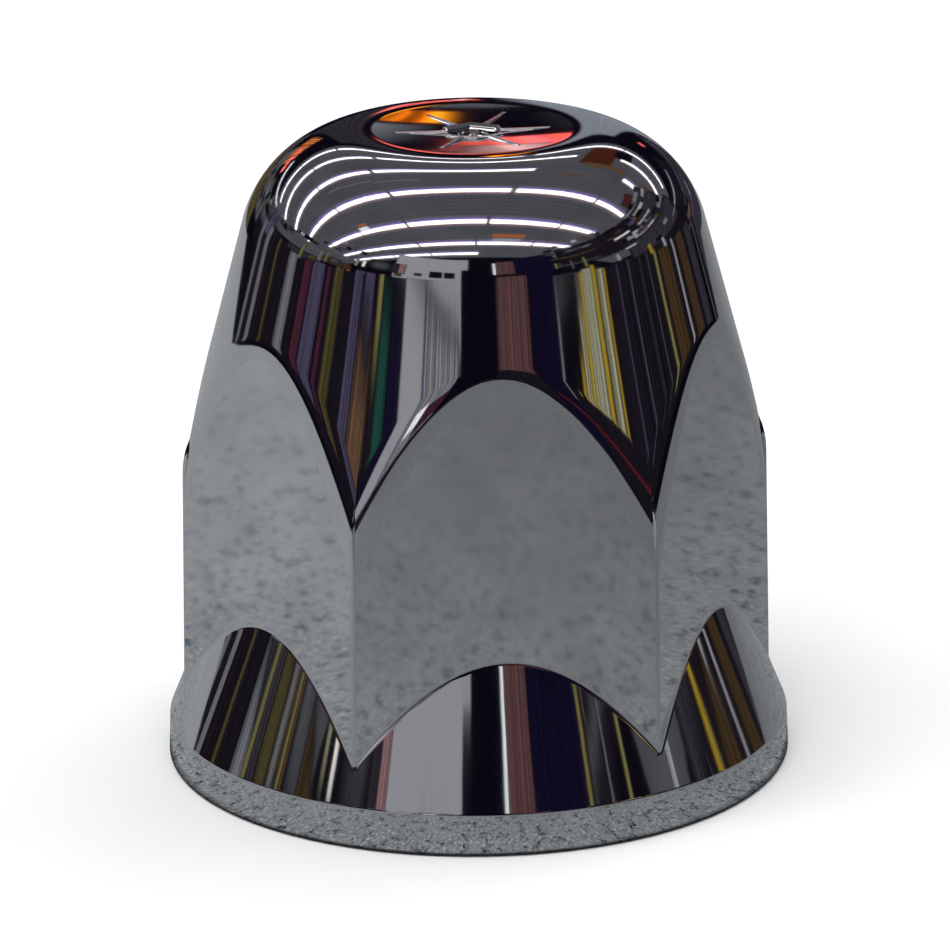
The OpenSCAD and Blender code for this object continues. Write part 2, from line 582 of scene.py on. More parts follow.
@dataclass
class GripRibs:
    """Two ribs on each flat that hold the nut, and the stops above them.

    Attributes:
        sizes: Sizes of the moulding.
        nut_af: Width across the nut's flats.
        gap: Gap between a rib and the nut.
        thickness: Thickness of a rib.
        pitch: Distance between a flat's two ribs.
        foot: Height at which the ribs begin.
        lead: Lead-in at a rib's foot.
        stop_h: Height of the stops.
        stop_af: Distance between opposite stops.
        edge: Radius of a rib's edges.
    """

    sizes: CapSizes
    nut_af: float = 33 * MM
    gap: float = 0.1 * MM
    thickness: float = 1.4 * MM
    pitch: float = 10 * MM
    foot: float = 8.5 * MM
    lead: float = 1.6 * MM
    stop_h: float = 33 * MM
    stop_af: float = 28 * MM
    edge: float = 0.2 * MM

    def outline(self) -> list[tuple[float, float]]:
        """Gives a rib's side view as distances from the axis and heights, ending inside the wall.

        Returns:
            Corners of the side view in order.
        """
        s = self.sizes
        tip = self.nut_af / 2 + self.gap
        sink = s.wall / 2
        root = s.hex_af / 2 - sink
        draft, lean = math.tan(s.hex_draft), math.tan(s.crown_angle)
        cone_foot = s.corner_r + s.corner_h * lean - sink / math.cos(s.crown_angle)
        bend = (cone_foot - root) / (lean - draft)
        end = (cone_foot - self.stop_af / 2) / lean
        top = min(end, s.shoulder_z)
        return [(root - self.foot * draft, self.foot), (tip + self.lead, self.foot),
                (tip, self.foot + self.lead), (tip, self.stop_h), (self.stop_af / 2, self.stop_h),
                (self.stop_af / 2, top), (cone_foot - top * lean, top), (root - bend * draft, bend)]

    def add_to(self, bm: bmesh.types.BMesh) -> None:
        """Adds all ribs as closed solids to an empty bmesh.

        Args:
            bm: The empty bmesh.
        """
        self._draw_rib(bm)
        first = bm.verts[:] + bm.edges[:] + bm.faces[:]
        second = bmesh.ops.duplicate(bm, geom=first)["geom"]
        for geom, hand in ((first, -1), (second, 1)):
            verts = [g for g in geom if isinstance(g, bmesh.types.BMVert)]
            bmesh.ops.translate(bm, verts=verts, vec=(hand * self.pitch / 2, 0, 0))
        pair = bm.verts[:] + bm.edges[:] + bm.faces[:]
        bmesh.ops.spin(bm, geom=pair, cent=(0, 0, 0), axis=(0, 0, 1), dvec=(0, 0, 0),
                       angle=(SIDES - 1) * SECTOR, steps=SIDES - 1, use_duplicate=True)

    def _draw_rib(self, bm: bmesh.types.BMesh) -> None:
        """Extrudes one rib in the middle of the flat that faces +Y and rounds its free edges.

        Args:
            bm: The empty bmesh that takes it.
        """
        half = self.thickness / 2
        face = bm.faces.new([bm.verts.new((-half, d, z)) for d, z in self.outline()])
        made = bmesh.ops.extrude_face_region(bm, geom=[face], use_keep_orig=True)
        verts = [g for g in made["geom"] if isinstance(g, bmesh.types.BMVert)]
        bmesh.ops.translate(bm, verts=verts, vec=(self.thickness, 0, 0))
        tips = self.nut_af / 2 + self.gap + self.lead / 2
        low = self.foot + self.edge / 2
        free = [e for e in bm.edges if all(v.co.y < tips or v.co.z < low for v in e.verts)]
        bmesh.ops.recalc_face_normals(bm, faces=bm.faces)
        bmesh.ops.bevel(bm, geom=free, offset=self.edge, offset_type="OFFSET", segments=2,
                        profile=0.5, affect="EDGES", clamp_overlap=True, material=-1)
        for face in bm.faces:
            face.material_index = Side.INSIDE.value


@dataclass
class GateMark:
    """Raised mark that moulding leaves in the dish: six arms, a six-sided hub and the gate's well.

    Attributes:
        sizes: Sizes of the moulding.
        height: How far the mark would stand above the middle of the dish.
        arm_reach: Radius out to the tips of the arms.
        arm_w: Width of an arm.
        hub_r: Radius of the hub at its corners.
        pocket_r: Radius of the hub's pocket at its corners.
        pocket_depth: Depth of the pocket below the middle of the dish.
        well_r: Radius of the round well in the pocket.
        well_depth: Depth of the well below the pocket's floor.
        nub_r: Radius of the nub in the well.
        taper: Share of its height that an arm loses towards its tip.
        ridge: Radius over the backs of the arms.
        edge: Radius of the hub's upper edges.
        slope_run: Run for rise of the slope round the pocket.
    """

    sizes: CapSizes
    height: float = 0.32 * MM
    arm_reach: float = 6.55 * MM
    arm_w: float = 0.6 * MM
    hub_r: float = 2.8 * MM
    pocket_r: float = 2.3 * MM
    pocket_depth: float = 0.06 * MM
    well_r: float = 1.35 * MM
    well_depth: float = 0.25 * MM
    nub_r: float = 0.36 * MM
    taper: float = 0.85
    ridge: float = 0.27 * MM
    edge: float = 0.14 * MM
    slope_run: float = 0.95

    def dish_z(self, radius: float) -> float:
        """Gives the dish's height at a radius."""
        s = self.sizes
        return s.dish_ball_z - math.sqrt(s.dish_ball_r**2 - radius**2)

    def add_star(self, bm: bmesh.types.BMesh) -> None:
        """Adds the arms and the hub as closed solids that follow the dish.

        Args:
            bm: The empty bmesh.
        """
        for i in range(SIDES // 2):
            made = bmesh.ops.create_grid(bm, x_segments=24, y_segments=2, size=0.5)["verts"]
            bmesh.ops.scale(bm, verts=made, vec=(2 * self.arm_reach, self.arm_w, 1))
            bmesh.ops.rotate(bm, verts=made, cent=(0, 0, 0), matrix=Matrix.Rotation(i * SECTOR, 3, "Z"))
            self._raise(bm, made, self.ridge)
        made = bmesh.ops.create_circle(bm, cap_ends=True, cap_tris=False, segments=SIDES, radius=self.hub_r)
        self._raise(bm, made["verts"], 2 * self.edge)

    def _raise(self, bm: bmesh.types.BMesh, flat: list[bmesh.types.BMVert], edge: float) -> None:
        """Thickens a flat outline to a solid that stands out of the dish, with its edges rounded.

        Args:
            bm: The bmesh that holds the outline.
            flat: The outline's vertices, with faces between them.
            edge: Radius of the upper edges.
        """
        faces = list(dict.fromkeys(f for v in flat for f in v.link_faces))
        grown = bmesh.ops.extrude_face_region(bm, geom=faces)["geom"]
        top = [g for g in grown if isinstance(g, bmesh.types.BMVert)]
        skin = [g for g in grown if isinstance(g, bmesh.types.BMFace)]
        for vert in top:
            radius = vert.co.xy.length
            taper = 1 - self.taper * radius / self.arm_reach
            vert.co.z = self.dish_z(radius) + self.height * taper
        for vert in flat:
            vert.co.z = self.sizes.dish_floor_z - self.sizes.wall / 2
        edges = dict.fromkeys(e for f in skin for e in f.edges)
        rim = [e for e in edges if not all(f in skin for f in e.link_faces)]
        bm.normal_update()
        bmesh.ops.bevel(bm, geom=rim, offset=edge, offset_type="OFFSET", segments=5, profile=0.5,
                        affect="EDGES", clamp_overlap=True, material=-1)

    def add_pocket(self, bm: bmesh.types.BMesh) -> None:
        """Adds the solid that is cut out of the hub for its pocket.

        Args:
            bm: The empty bmesh.
        """
        s = self.sizes
        floor = s.dish_floor_z - self.pocket_depth
        made = bmesh.ops.create_cone(bm, cap_ends=True, cap_tris=False, segments=SIDES,
                                     radius1=self.pocket_r - self.edge, radius2=self.pocket_r + self.edge,
                                     depth=s.wall)
        bmesh.ops.translate(bm, verts=made["verts"], vec=(0, 0, floor + s.wall / 2))

    def add_chamfer(self, bm: bmesh.types.BMesh) -> None:
        """Adds the solid that slopes the pocket's upper edge.

        Args:
            bm: The empty bmesh.
        """
        crest = self.sizes.dish_floor_z + self.height * (1 - self.taper * self.hub_r / self.arm_reach)
        slope, over = 1.4 * self.edge, self.sizes.wall
        made = bmesh.ops.create_cone(bm, cap_ends=True, cap_tris=False, segments=SIDES,
                                     radius1=self.pocket_r,
                                     radius2=self.pocket_r + self.slope_run * (slope + over),
                                     depth=slope + over)
        bmesh.ops.translate(bm, verts=made["verts"], vec=(0, 0, crest - slope + (slope + over) / 2))

    def add_well(self, bm: bmesh.types.BMesh) -> None:
        """Adds the ring that is cut out round the nub, spun from its section.

        Args:
            bm: The empty bmesh.
        """
        floor = self.sizes.dish_floor_z - self.pocket_depth
        low, high = floor - self.well_depth, floor + self.sizes.wall
        soft = self.edge / 2
        outline = [(self.nub_r + soft, low), (self.well_r - soft, low), (self.well_r, low + soft),
                   (self.well_r, high), (0, high), (0, floor), (self.nub_r - soft, floor - soft / 2),
                   (self.nub_r, floor - 2 * soft)]
        verts = [bm.verts.new((r, 0, z)) for r, z in outline]
        edges = [bm.edges.new(pair) for pair in zip(verts, verts[1:] + verts[:1])]
        axis_edge = next(e for e in edges if all(v.co.x == 0 for v in e.verts))
        edges.remove(axis_edge)
        bm.edges.remove(axis_edge)
        bmesh.ops.spin(bm, geom=verts + edges, cent=(0, 0, 0), axis=(0, 0, 1), dvec=(0, 0, 0),
                       angle=2 * math.pi, steps=48, use_merge=True, use_duplicate=False)
        bmesh.ops.remove_doubles(bm, verts=bm.verts, dist=WELD)


class Signal:
    """A socket that gives a number, which Python's operators turn into Math nodes."""

    def __init__(self, tree: "Shader", socket: bpy.types.NodeSocket) -> None:
        """Keeps the tree and the socket."""
        self.tree = tree
        self.socket = socket

    def _math(self, operation: str, other: "Signal | float") -> "Signal":
        """Adds one Math node on self and another value."""
        return Signal(self.tree, self.tree.math(operation, self, other))

    def __add__(self, other: "Signal | float") -> "Signal":
        """Gives self + other."""
        return self._math("ADD", other)

    __radd__ = __add__

    def __sub__(self, other: "Signal | float") -> "Signal":
        """Gives self - other."""
        return self._math("SUBTRACT", other)

    def __rsub__(self, other: float) -> "Signal":
        """Gives other - self."""
        return self * -1.0 + other

    def __mul__(self, other: "Signal | float") -> "Signal":
        """Gives self * other."""
        return self._math("MULTIPLY", other)

    __rmul__ = __mul__

    def __truediv__(self, other: "Signal | float") -> "Signal":
        """Gives self / other."""
        return self._math("DIVIDE", other)

    def __pow__(self, other: float) -> "Signal":
        """Gives self to the power of other."""
        return self._math("POWER", other)

    def held(self, low: float = 0.0, high: float = 1.0) -> "Signal":
        """Gives self held between two bounds."""
        return self._math("MINIMUM", high)._math("MAXIMUM", low)


class Shader:
    """A material's node tree, emptied but for its output."""

    def __init__(self, name: str) -> None:
        """Makes the material and an empty tree.

        Args:
            name: The material's name.
        """
        self.material = bpy.data.materials.new(name)
        self.material.use_nodes = True
        self.nodes = self.material.node_tree.nodes
        self.links = self.material.node_tree.links
        self.nodes.clear()
        self.output = self.node("ShaderNodeOutputMaterial")

    def node(self, kind: str, settings: dict[str, object] | None = None,
             sockets: dict[str | int, object] | None = None) -> bpy.types.Node:
        """Adds a node.

        Args:
            kind: The node's type.
            settings: Its properties, set first.
            sockets: Values, sockets or signals of its inputs, by name or number.

        Returns:
            The node.
        """
        made = self.nodes.new(kind)
        for name, value in (settings or {}).items():
            setattr(made, name, value)
        for key, value in (sockets or {}).items():
            self.feed(made.inputs[key], value)
        return made

    def feed(self, socket: bpy.types.NodeSocket, value: object) -> None:
        """Links or sets one input.

        Args:
            socket: The input.
            value: A signal or socket to link, or a value to set.
        """
        if isinstance(value, Signal):
            value = value.socket
        if isinstance(value, bpy.types.NodeSocket):
            self.links.new(value, socket)
        else:
            socket.default_value = value

    def math(self, operation: str, *values: "Signal | float") -> bpy.types.NodeSocket:
        """Adds a Math node and gives its output."""
        return self.node("ShaderNodeMath", {"operation": operation}, dict(enumerate(values))).outputs[0]

    def place(self) -> bpy.types.NodeSocket:
        """Gives the piece's own coordinates in metres."""
        return self.node("ShaderNodeTexCoord").outputs["Object"]

    def axes(self) -> tuple[Signal, Signal, Signal]:
        """Gives the three coordinates as signals."""
        split = self.node("ShaderNodeSeparateXYZ", None, {0: self.place()})
        return tuple(Signal(self, out) for out in split.outputs)

    def noise(self, scale: float, detail: float = 2.0, roughness: float = 0.5,
              vector: bpy.types.NodeSocket | None = None) -> Signal:
        """Gives smooth noise from 0 to 1 at a number of cells a metre.

        Args:
            scale: Cells a metre.
            detail: Number of finer layers.
            roughness: Share of the finer layers.
            vector: Coordinates, or the piece's own if none are given.

        Returns:
            The noise.
        """
        made = self.node("ShaderNodeTexNoise", None,
                         {"Vector": vector or self.place(), "Scale": scale, "Detail": detail,
                          "Roughness": roughness})
        return Signal(self, made.outputs[0])

    def lines(self, along: Signal) -> Signal:
        """Gives noise from 0 to 1 that changes along one direction alone.

        Args:
            along: Place along that direction.

        Returns:
            The noise.
        """
        made = self.node("ShaderNodeTexNoise", {"noise_dimensions": "1D"},
                         {"W": along, "Detail": 2.5, "Roughness": 0.65})
        return Signal(self, made.outputs[0])

    def mix(self, share: Signal | float, low: object, high: object) -> bpy.types.NodeSocket:
        """Mixes two colours.

        Args:
            share: Share of the second.
            low: The first colour or its socket.
            high: The second colour or its socket.

        Returns:
            The mixed colour.
        """
        made = self.node("ShaderNodeMix", {"data_type": "RGBA"},
                         {0: share, 6: self.colour(low), 7: self.colour(high)})
        return made.outputs[2]

    @staticmethod
    def colour(value: object) -> object:
        """Gives a colour a fourth channel where it has three."""
        return (*value, 1.0) if isinstance(value, tuple) and len(value) == 3 else value

    def finish(self, shader: bpy.types.Node) -> bpy.types.Material:
        """Links a shader to the output and gives the material."""
        self.links.new(shader.outputs[0], self.output.inputs["Surface"])
        return self.material


@dataclass(frozen=True)
class MirrorPlating:
    """Bright decorative plating on the shown skin: a mirror with faint smudges and flow ripple.

    Attributes:
        tint: Reflected colour.
        haze: Roughness where it is clean.
        smudge: Roughness that is added where it has been touched.
        ripple: Depth of the moulding's ripple under the plating.
        touch_scale: Cells a metre of the touched places.
        dust_scale: Cells a metre of the dust.
        ripple_scale: Cells a metre of the ripple.
    """

    tint: tuple[float, float, float] = (0.655, 0.66, 0.668)
    haze: float = 0.045
    smudge: float = 0.03
    ripple: float = 0.016 * MM
    touch_scale: float = 70
    dust_scale: float = 2600
    ripple_scale: float = 105

    def material(self) -> bpy.types.Material:
        """Makes the material.

        Returns:
            The material.
        """
        shader = Shader("mirror_plating")
        touched = ((shader.noise(self.touch_scale, 4, 0.6) - 0.52) * 5.0).held()
        dust = ((shader.noise(self.dust_scale, 1, 0.4) - 0.77) * 6.0).held()
        roughness = touched * self.smudge + dust * 0.2 + self.haze
        worn = tuple(c * 0.94 for c in self.tint)
        tint = shader.mix(touched * 0.6 + dust * 0.3, self.tint, worn)
        wave = shader.noise(self.ripple_scale, 2, 0.4)
        bump = shader.node("ShaderNodeBump", None,
                           {"Strength": 1.0, "Distance": self.ripple, "Height": wave})
        plating = shader.node("ShaderNodeBsdfPrincipled", None,
                              {"Base Color": tint, "Metallic": 1.0, "Roughness": roughness,
                               "Normal": bump.outputs[0]})
        return shader.finish(plating)


@dataclass(frozen=True)
class DullPlating:
    """Cloudy plating inside the shell, whose colour turns darker and warmer higher up inside.

    Attributes:
        tint: Reflected colour low down inside the shell.
        upper_tint: Darker, warmer reflected colour high up inside.
        haze: Mean roughness.
        darkest_from: Height at which the colour has turned fully to the darker one.
        cloud_scale: Cells a metre of the clouds.
        grain_scale: Cells a metre of the grain.
        grain_depth: Depth of the grain.
    """

    tint: tuple[float, float, float] = (0.52, 0.525, 0.53)
    upper_tint: tuple[float, float, float] = (0.33, 0.325, 0.315)
    haze: float = 0.36
    darkest_from: float = 46 * MM
    cloud_scale: float = 140
    grain_scale: float = 3200
    grain_depth: float = 0.02 * MM

    def material(self) -> bpy.types.Material:
        """Makes the material.

        Returns:
            The material.
        """
        shader = Shader("dull_plating")
        height = shader.axes()[2]
        cloud = shader.noise(self.cloud_scale, 5, 0.62)
        # Colour turns darker and warmer with height inside the shell, broken up by the clouds
        depth = (height / self.darkest_from + (cloud - 0.5) * 0.5).held()
        tint = shader.mix(depth, self.tint, self.upper_tint)
        grain = shader.noise(self.grain_scale, 3, 0.6)
        roughness = (cloud - 0.5) * 0.22 + self.haze
        bump = shader.node("ShaderNodeBump", None,
                           {"Strength": 0.6, "Distance": self.grain_depth, "Height": grain})
        plating = shader.node("ShaderNodeBsdfPrincipled", None,
                              {"Base Color": tint, "Metallic": 0.92, "Roughness": roughness,
                               "Normal": bump.outputs[0]})
        return shader.finish(plating)


class CoverCap:
    """The whole moulding: shell, grip ribs and the mark in the dish, as one piece."""

    def __init__(self) -> None:
        """Takes the sizes and sets up the two skins."""
        self.sizes = CapSizes()
        self.outer = SkinForm(self.sizes, 0.0, 0.45 * MM, 7.2 * MM, 0.8 * MM)
        self.inner = SkinForm(self.sizes, self.sizes.wall, 0.6 * MM, 1.2 * MM, 0.8 * MM)
        self.ribs = GripRibs(self.sizes)
        self.mark = GateMark(self.sizes)

    def build(self) -> bpy.types.Object:
        """Builds the piece, dresses it and puts it in the frame.

        Returns:
            The finished piece.
        """
        shell = new_object("plated_cap", ShellBlank(self.sizes, self.outer, self.inner).build())
        self._join(shell, self.ribs.add_to, "UNION")
        self._join(shell, self.mark.add_star, "UNION")
        self._join(shell, self.mark.add_pocket, "DIFFERENCE")
        self._join(shell, self.mark.add_chamfer, "DIFFERENCE")
        self._join(shell, self.mark.add_well, "DIFFERENCE")
        self._shade(shell.data)
        for finish in (MirrorPlating(), DullPlating()):
            shell.data.materials.append(finish.material())
        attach(shell, BODY)
        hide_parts(NODE)
        return shell

    @staticmethod
    def _join(shell: bpy.types.Object, maker: Callable[[bmesh.types.BMesh], None], operation: str) -> None:
        """Runs one boolean with the solids that a maker adds to an empty bmesh.

        Args:
            shell: The object that changes.
            maker: Adds closed solids to a bmesh.
            operation: UNION or DIFFERENCE.
        """
        bm = bmesh.new()
        maker(bm)
        bmesh.ops.recalc_face_normals(bm, faces=bm.faces)
        boolean(shell, new_object("tool", bm), operation)

    def _shade(self, mesh: bpy.types.Mesh) -> None:
        """Gives the two skins their true normals and keeps the crisp edges of the rest.

        Args:
            mesh: The finished shell's mesh.
        """
        bm = bmesh.new()
        bm.from_mesh(mesh)
        bmesh.ops.remove_doubles(bm, verts=bm.verts, dist=WELD)
        bmesh.ops.dissolve_degenerate(bm, edges=bm.edges, dist=WELD)
        bmesh.ops.recalc_face_normals(bm, faces=bm.faces)
        bm.to_mesh(mesh)
        bm.free()
        mesh.shade_smooth()
        mesh.set_sharp_from_angle(angle=CRISP)
        count = len(mesh.vertices)
        points = np.empty(count * 3)
        mesh.vertices.foreach_get("co", points)
        points = points.reshape(count, 3)
        corner_vertex = np.empty(len(mesh.loops), dtype=np.int32)
        mesh.loops.foreach_get("vertex_index", corner_vertex)
        face_normal = np.repeat(np.array([p.normal for p in mesh.polygons]),
                                [p.loop_total for p in mesh.polygons], axis=0)
        normals = np.zeros((len(corner_vertex), 3))
        low = self.sizes.rim_h
        for skin, sign in ((self.outer, 1), (self.inner, -1)):
            on_skin = (np.abs(skin.distance(*points.T)) < ON_SKIN) & (points[:, 2] > low)
            true = skin.normals(points) * sign
            at_corner = true[corner_vertex]
            agrees = (at_corner * face_normal).sum(axis=1) > AGREEMENT
            chosen = on_skin[corner_vertex] & agrees
            normals[chosen] = at_corner[chosen]
        mesh.normals_split_custom_set(normals.tolist())


class Hue(Enum):
    """Light that a card gives off, as linear red, green and blue."""

    INK = (0.004, 0.003, 0.008)
    NAVY = (0.007, 0.005, 0.021)
    SHADE = (0.0095, 0.0075, 0.012)
    GRAPHITE = (0.03, 0.027, 0.035)
    SLATE = (0.075, 0.078, 0.085)
    SILVER = (0.18, 0.178, 0.195)
    PALE = (0.362, 0.36, 0.395)
    WHITE = (1.1, 1.1, 1.1)
    DUSTY = (0.105, 0.05, 0.052)
    RUST = (0.12, 0.07, 0.04)
    EMBER = (0.45, 0.13, 0.04)
    VIOLET = (0.065, 0.058, 0.11)
    OLIVE = (0.07, 0.058, 0.022)
    LIME = (0.22, 0.20, 0.075)
    TEAL = (0.016, 0.07, 0.055)
    MAROON = (0.055, 0.015, 0.028)
    BRICK = (0.13, 0.016, 0.02)
    ROSE = (0.28, 0.16, 0.165)
    YELLOW = (0.42, 0.28, 0.025)
    CREAM = (0.3, 0.28, 0.19)
    CORAL = (1.5, 0.21, 0.19)
    BLUSH = (1.3, 0.75, 0.75)
    AMBER = (1.5, 0.36, 0.012)
    MIST = (0.25, 0.275, 0.32)
    UMBER = (0.07, 0.018, 0.01)
    BROWN = (0.05, 0.03, 0.014)


@dataclass(frozen=True)
class Card:
    """An upright curved card that shows in the plating alone.

    Attributes:
        start: Azimuth of its left edge in degrees, 0 towards the camera and 90 to the right.
        end: Azimuth of its right edge.
        low: Elevation of its lower edge in degrees.
        high: Elevation of its upper edge.
        hue: Its light.
        stripes: Contrast of the fine upright stripes on it.
        soft: Width of its faded edges in degrees.
    """

    start: float
    end: float
    low: float
    high: float
    hue: Hue
    stripes: float = 0.5
    soft: float = 0.6

    # Lines of a card for each radian, how far they wander, and their least and greatest light
    LINE_PITCH = 26.0
    WANDER = 0.2
    DIMMEST = 0.04
    BRIGHTEST = 3.0

    @property
    def middle(self) -> float:
        """Azimuth of its middle, in radians."""
        return math.radians(self.start + self.end) / 2

    @property
    def half(self) -> float:
        """Half of the angle that it spans, in radians."""
        return math.radians(self.end - self.start) / 2


@dataclass(frozen=True)
class Clutter:
    """Small cards scattered over a stretch of the ring, for the busy places between room and ceiling.

    Attributes:
        start: Azimuth at which the stretch starts in degrees.
        end: Azimuth at which it ends.
        low: Elevation of its lower side at the start, in degrees.
        low_end: Elevation of its lower side at the end.
        depth: How far it reaches up from there.
        count: Number of cards.
        seed: Seed of the scatter.
    """

    start: float
    end: float
    low: float
    low_end: float
    depth: float
    count: int
    seed: int

    HUES = (Hue.INK, Hue.INK, Hue.GRAPHITE, Hue.BROWN, Hue.SLATE, Hue.SILVER, Hue.RUST, Hue.PALE, Hue.VIOLET)

    def cards(self) -> list[Card]:
        """Gives the scattered cards.

        Returns:
            The cards, from the start of the stretch to its end.
        """
        draw = random.Random(self.seed)
        made = []
        for i in range(self.count):
            share = (i + draw.random()) / self.count
            azimuth = self.start + (self.end - self.start) * share
            low = self.low + (self.low_end - self.low) * share + self.depth * draw.random()
            width, height = draw.uniform(1.2, 5), draw.uniform(0.7, 2.6)
            hue = draw.choice(self.HUES)
            made.append(Card(azimuth - width, azimuth + width, low, low + height, hue, 2.5, 0.5))
        return made


@dataclass(frozen=True)
class TubeRow:
    """A row of lamps end to end on the mirrored ceiling, in heights of the ceiling.

    Attributes:
        across: Distance of the row from the middle, away from the camera.
        right_end: Where its last lamp ends on the right.
        count: Number of lamps to the left of there.
    """

    across: float
    right_end: float
    count: int


@dataclass(frozen=True)
class LampLayer:
    """One of the strips that every lamp is made of, in half widths of a lamp.

    Attributes:
        name: Its name.
        shift: How far it lies behind the lamp's middle line.
        width: Half of its width.
        colour: Its colour.
        strength: Its light.
    """

    name: str
    shift: float
    width: float
    colour: tuple[float, float, float]
    strength: float


@dataclass(frozen=True)
class Patch:
    """A coloured rectangle on the mirrored ceiling, in heights of the ceiling.

    Attributes:
        left: Its left edge.
        right: Its right edge.
        near: Its edge towards the camera.
        far: Its edge away from the camera.
        hue: Its light.
    """

    left: float
    right: float
    near: float
    far: float
    hue: Hue


@dataclass(frozen=True)
class StoneSpeckle:
    """Grey stone speckle on the counter that the flats and the rim mirror, softer further out.

    Attributes:
        turn: Turn of the counter about the axis, in radians.
        flat_stretch: How much longer the speckle before the flats is away from the object than across.
        rim_stretch: The same for the speckle right round the rim.
        rim_reach: Radius out to which the rim mirrors it.
        rim_mean: Radius at which the rim's speckle is as wide as it is drawn.
        sharp_to: Radius at which it begins to soften.
        soft_over: Distance over which it softens.
        grain_scale: Cells a metre of the grains.
        blot_scale: Cells a metre of the blots.
        cloud_scale: Cells a metre of the clouds.
        middle: Its light at the object.
        rightwards: Change of its light for each metre to the right.
        backwards: Change of its light for each metre away from the camera.
        least: Its least light.
        most: Its greatest light.
        foot_outer: Radius where the shadow of the rim's foot ends outside.
        foot_inner: Radius where it ends inside.
        clean: Colour of its light.
        stained: Colour of the blots.
    """

    turn: float
    flat_stretch: float = 3.5
    rim_stretch: float = 2.3
    rim_reach: float = 48 * MM
    rim_mean: float = 28 * MM
    sharp_to: float = 30 * MM
    soft_over: float = 110 * MM
    grain_scale: float = 3300
    blot_scale: float = 1050
    cloud_scale: float = 210
    middle: float = 0.287
    rightwards: float = -0.95
    backwards: float = 0.4
    least: float = 0.2
    most: float = 0.38
    foot_outer: float = 26.5 * MM
    foot_inner: float = 25 * MM
    clean: tuple[float, float, float] = (0.97, 1.0, 1.03)
    stained: tuple[float, float, float] = (0.82, 1.0, 1.2)

    def material(self) -> bpy.types.Material:
        """Makes the material.

        Returns:
            The material.
        """
        shader = Shader("stone_speckle")
        x, y, _ = shader.axes()
        out = (x * x + y * y) ** 0.5
        fan = self._fan(shader, x, y, out)
        far = ((out - self.sharp_to) / self.soft_over).held()
        grains = shader.noise(self.grain_scale, 2, 0.7, fan)
        blots = shader.noise(self.blot_scale, 3, 0.6, fan)
        clouds = shader.noise(self.cloud_scale, 2, 0.5, fan)
        dark = ((0.48 - grains) * 9.0).held() * ((0.66 - blots) * 4.0).held() * (1 - far)
        light = ((grains - 0.55) * 9.0).held() * (1 - far)
        stains = ((0.48 - blots) * 6.0).held() * (1 - far * 0.3)
        grain = (clouds - 0.5) * 0.45 + 1.05 - dark * 0.6 + light * 0.9 - stains * 0.62
        ground = (x * self.rightwards + y * self.backwards + self.middle).held(self.least, self.most)
        outside = ((out - self.foot_outer) / (1.1 * MM)).held()
        inside = ((self.foot_inner - out) / (2 * MM)).held()
        level = ground * grain * ((outside + inside) * 0.9 + 0.1)
        tint = shader.mix((stains + dark * 0.6).held(), self.clean, self.stained)
        glow = shader.node("ShaderNodeEmission", None, {"Color": tint, "Strength": level})
        return shader.finish(glow)

    def _fan(self, shader: Shader, x: Signal, y: Signal, out: Signal) -> bpy.types.NodeSocket:
        """Gives coordinates that run out from the rim, and further out from the nearest flat.

        Args:
            shader: Tree to draw in.
            x: Place along X.
            y: Place along Y.
            out: Distance from the axis.

        Returns:
            The coordinates, shortened away from the object.
        """
        turn = Signal(shader, shader.math("ARCTAN2", x, y * -1.0)) + self.turn
        side = Signal(shader, shader.math("ROUND", turn / SECTOR))
        off = turn - side * SECTOR
        across = out * Signal(shader, shader.math("SINE", off))
        ahead = out * Signal(shader, shader.math("COSINE", off)) / self.flat_stretch
        before_flat = shader.node("ShaderNodeCombineXYZ", None, {0: across, 1: ahead, 2: side})
        round_rim = shader.node("ShaderNodeCombineXYZ", None,
                                {0: turn * self.rim_mean, 1: out / self.rim_stretch})
        past_rim = Signal(shader, shader.math("GREATER_THAN", out, self.rim_reach))
        return shader.mix(past_rim, round_rim.outputs[0], before_flat.outputs[0])


@dataclass(frozen=True)
class CeilingBoard:
    """Dark grey ceiling with faint grooves along its rows of lamps.

    Attributes:
        groove_pitch: Distance from groove to groove.
        light: Its mean light.
        groove_light: Light that is added on the ridges between the grooves.
        drift: Slow change of its light.
        tint: Colour of its light.
    """

    groove_pitch: float
    light: float = 0.09
    groove_light: float = 0.02
    drift: float = 0.07
    tint: tuple[float, float, float, float] = (0.95, 0.96, 1.1, 1.0)

    def material(self) -> bpy.types.Material:
        """Makes the material.

        Returns:
            The material.
        """
        shader = Shader("ceiling_board")
        y = shader.axes()[1]
        groove = Signal(shader, shader.math("SINE", y * (math.tau / self.groove_pitch)))
        slow = shader.noise(0.9, 2, 0.5)
        level = (groove * 0.5 + 0.5) ** 4 * self.groove_light + self.light + (slow - 0.5) * self.drift
        glow = shader.node("ShaderNodeEmission", None, {"Color": self.tint, "Strength": level})
        return shader.finish(glow)


